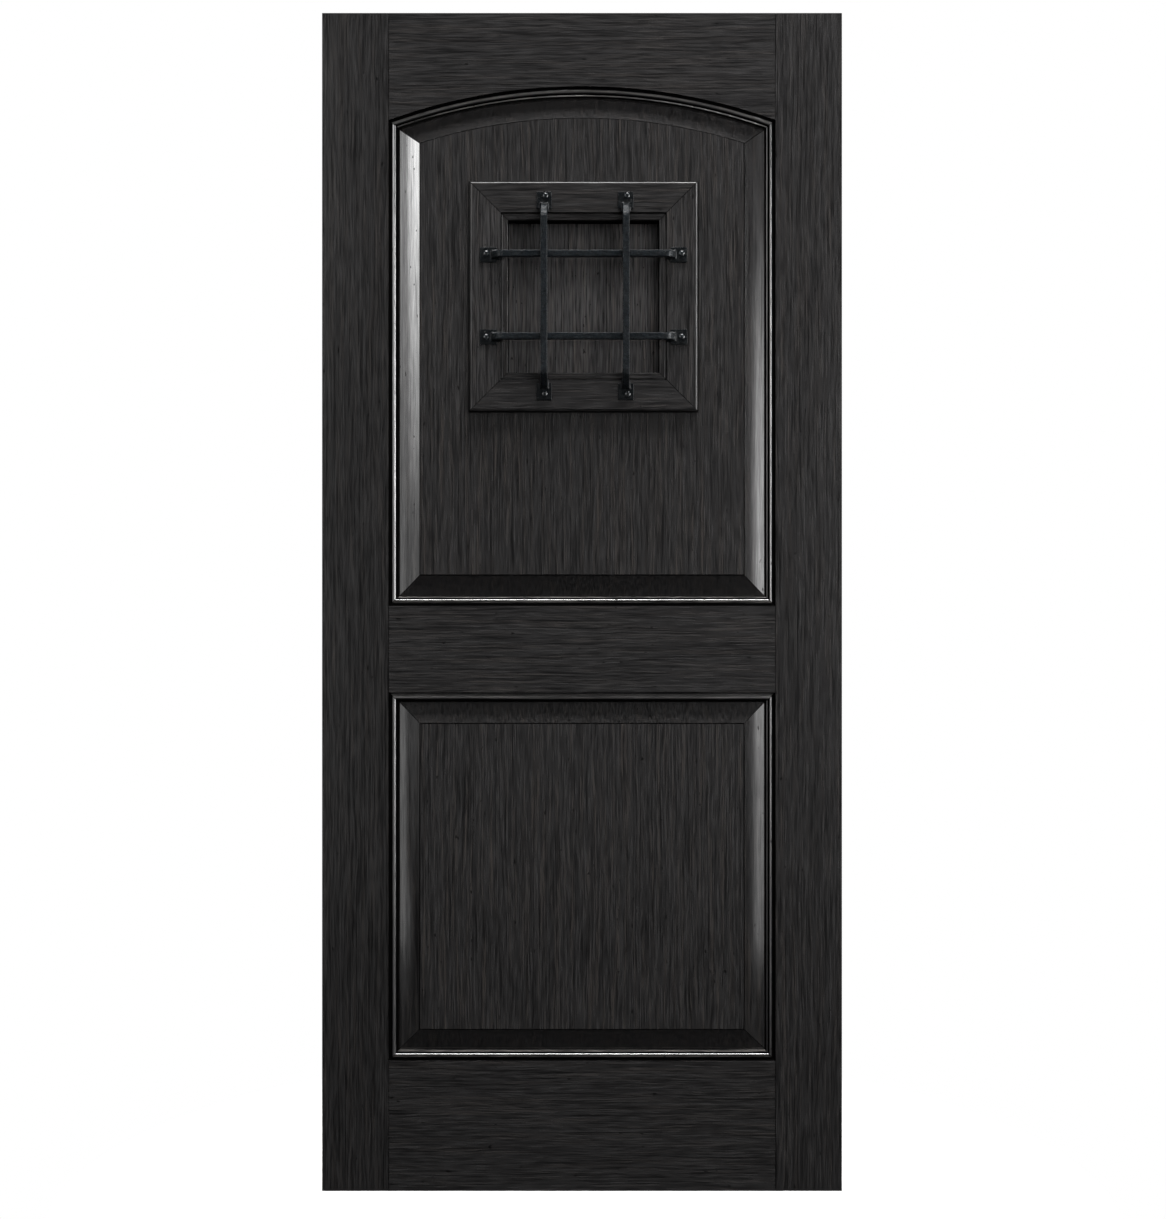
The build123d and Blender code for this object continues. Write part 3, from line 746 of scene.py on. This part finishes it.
# The reflections in the front's lacquer: left slopes, right slopes, and the mouldings' light lines
softbox("left_softbox", 0.76, 2.6, (-1.12, -1.54, 1.50), (0.155, 0.0, 1.50), 9.4,
        across=((0.0, 0.1), (0.14, 0.7), (0.4, 1.0), (1.0, 1.0)),
        upward=((0.0, 0.0), (0.15, 0.03), (0.42, 0.09), (0.60, 0.42), (0.80, 0.95), (1.0, 1.0)),
        only="gloss")
softbox("left_near_fill", 0.86, 3.0, (-0.80, -2.0, 1.3), (0.155, 0.0, 1.3), 3.0,
        across=((0.0, 0.5), (0.12, 1.0), (0.6, 0.7), (1.0, 0.2)),
        upward=((0.0, 0.42), (0.30, 0.45), (0.55, 0.45), (0.80, 0.95), (1.0, 1.0)),
        only="gloss")
softbox("right_softbox", 0.90, 2.9, (1.72, -1.86, 1.25), (0.745, 0.0, 1.25), 3.8,
        across=((0.0, 0.0), (0.22, 0.25), (0.45, 1.0), (1.0, 0.8)),
        upward=((0.0, 0.30), (0.20, 0.38), (0.50, 1.0), (0.60, 0.86), (0.70, 0.46),
                (0.80, 0.08), (1.0, 0.05)),
        only="gloss")
softbox("left_side_lamp", 0.5, 1.6, (-1.40, -0.45, 1.2), (0.155, 0.0, 1.2), 2.0,
        upward=((0.0, 0.3), (0.35, 0.9), (0.6, 1.0), (1.0, 0.5)), only="gloss")
softbox("right_side_lamp", 0.8, 1.9, (2.30, -0.68, 1.3), (0.745, 0.0, 1.3), 26.0,
        upward=((0.0, 0.25), (0.35, 0.5), (0.6, 1.0), (1.0, 1.0)), only="gloss")

# The level of light on the front
softbox("front_right_light", 1.2, 1.6, (1.9, -2.4, 1.5), (0.7, 0.0, 1.2), 4.2, only="light")
softbox("high_right_light", 1.0, 0.8, (1.15, -1.7, 3.0), (0.8, 0.0, 1.8), 6.0, only="light")
softbox("low_front_light", 1.6, 1.0, (room_middle, -2.8, 0.5), (room_middle, 0.0, 0.5), 0.8,
        only="light")
softbox("overhead_key", 4.4, 1.7, (0.95, -1.35, 7.6), (0.95, -1.35, 1.2), 40.0)
softbox("front_fill", 2.6, 4.9, (room_middle, -3.2, 1.0), (room_middle, 0.0, 1.0), 0.04,
        upward=((0.0, 0.55), (0.35, 0.75), (0.6, 0.9), (1.0, 1.0)))

# Much the same light on the back
softbox("overhead_back", 4.4, 2.4, (room_middle, 1.40, 7.6), (room_middle, 1.40, 1.2), 34.0)
softbox("side_back_light", 1.2, 1.6, (-1.0, 2.4, 1.5), (0.2, 0.0, 1.2), 4.2, only="light")
softbox("low_back_light", 1.6, 1.0, (room_middle, 2.8, 0.5), (room_middle, 0.0, 0.5), 0.8,
        only="light")
softbox("back_left_softbox", 0.76, 2.6, (2.02, 1.54, 1.50), (0.745, 0.0, 1.50), 5.0,
        upward=((0.0, 0.02), (0.42, 0.2), (0.80, 0.8), (1.0, 1.0)))
softbox("back_right_softbox", 0.76, 2.6, (-1.12, 1.54, 1.50), (0.155, 0.0, 1.50), 2.7,
        upward=((0.0, 0.1), (0.5, 0.5), (0.80, 0.6), (1.0, 0.3)))
softbox("back_fill", 2.6, 4.9, (room_middle, 3.2, 1.0), (room_middle, 0.0, 1.0), 0.04)

# A dark cloth round the room, from just above the floor, that shows in the gloss and nowhere else
cloth_width, cloth_height = 18, 10
cloth_lift = 0.0003
cloth_glow = 0.01
bpy.ops.object.select_all(action="DESELECT")
bpy.ops.mesh.primitive_cube_add(size=1)
dark_cloth = bpy.context.object
dark_cloth.name = "dark_cloth"
cloth_centre = (room_middle, 0, cloth_lift + cloth_height / 2)
cloth_size = Matrix.Diagonal((cloth_width, cloth_width, cloth_height, 1))
dark_cloth.data.transform(Matrix.Translation(cloth_centre) @ cloth_size)
cloth, cloth_tree, cloth_output = new_material("dark studio cloth")
dim = place(cloth_tree, "Emission", {"Color": pure_white, "Strength": cloth_glow})
cloth_tree.links.new(dim.outputs[0], cloth_output.inputs[0])
dark_cloth.data.materials.append(cloth)
dark_cloth.visible_camera = False
dark_cloth.visible_diffuse = False
dark_cloth.visible_shadow = False
dark_cloth.visible_transmission = False
dark_cloth.visible_volume_scatter = False


def seen_directly(tree):
    """1 for the rays of the camera, of gloss and of glass, and 0 for those that light things."""
    rays = place(tree, "LightPath")
    seen = math(tree, "MAXIMUM", rays.outputs["Is Camera Ray"], rays.outputs["Is Glossy Ray"])
    return math(tree, "MAXIMUM", seen, rays.outputs["Is Transmission Ray"])


# The floor: plain white away from the door, and near it partly paper that takes its shadow
floor_size = 12.0
paper_colour = (0.93, 0.93, 0.93, 1)
shadow_reach = (0.40, 0.90)
white_near_door = 0.55
floor = stage_plane("floor", floor_size, floor_size, (room_middle, 0, 0), (room_middle, 0, 1))
paper, paper_tree, paper_output = new_material("pale floor")
lit = place(paper_tree, "BsdfDiffuse", {"Color": paper_colour})
white = place(paper_tree, "Emission", {"Color": pure_white, "Strength": 1.0})
seen = seen_directly(paper_tree)
spot = place(paper_tree, "TexCoord").outputs["Object"]
from_door = place(paper_tree, "VectorMath", {0: spot, 1: (room_middle, 0, 0)},
                  operation="DISTANCE")
far = remap(paper_tree, from_door.outputs["Value"], *shadow_reach, white_near_door, 1.0)
blend = place(paper_tree, "MixShader", {0: math(paper_tree, "MULTIPLY", far, seen),
                                        1: lit.outputs[0], 2: white.outputs[0]})
paper_tree.links.new(blend.outputs[0], paper_output.inputs[0])
floor.data.materials.append(paper)
floor.visible_diffuse = False

# White where the background is seen, and little light from it
background_light = 0.1
world = bpy.data.worlds.new("studio")
bpy.context.scene.world = world
world.use_nodes = True
world.node_tree.nodes.clear()
sky = world.node_tree
strength = remap(sky, seen_directly(sky), 0, 1, background_light, 1.0)
background = place(sky, "Background", {"Color": pure_white, "Strength": strength})
sky_output = sky.nodes.new("ShaderNodeOutputWorld")
sky.links.new(background.outputs[0], sky_output.inputs[0])

# The camera, square on to the door at half its height, as in the photo
camera_data = bpy.data.cameras.new("camera")
camera_data.sensor_width = 36.0
camera_data.lens = 51.36
camera = bpy.data.objects.new("camera", camera_data)
camera.location = (0.4502, -3.02225, 1.0031)
camera.rotation_euler = (radians(90), 0, 0)
bpy.context.scene.collection.objects.link(camera)
bpy.context.scene.camera = camera

bpy.context.scene.view_settings.view_transform = "Standard"

bpy.context.view_layer.update()
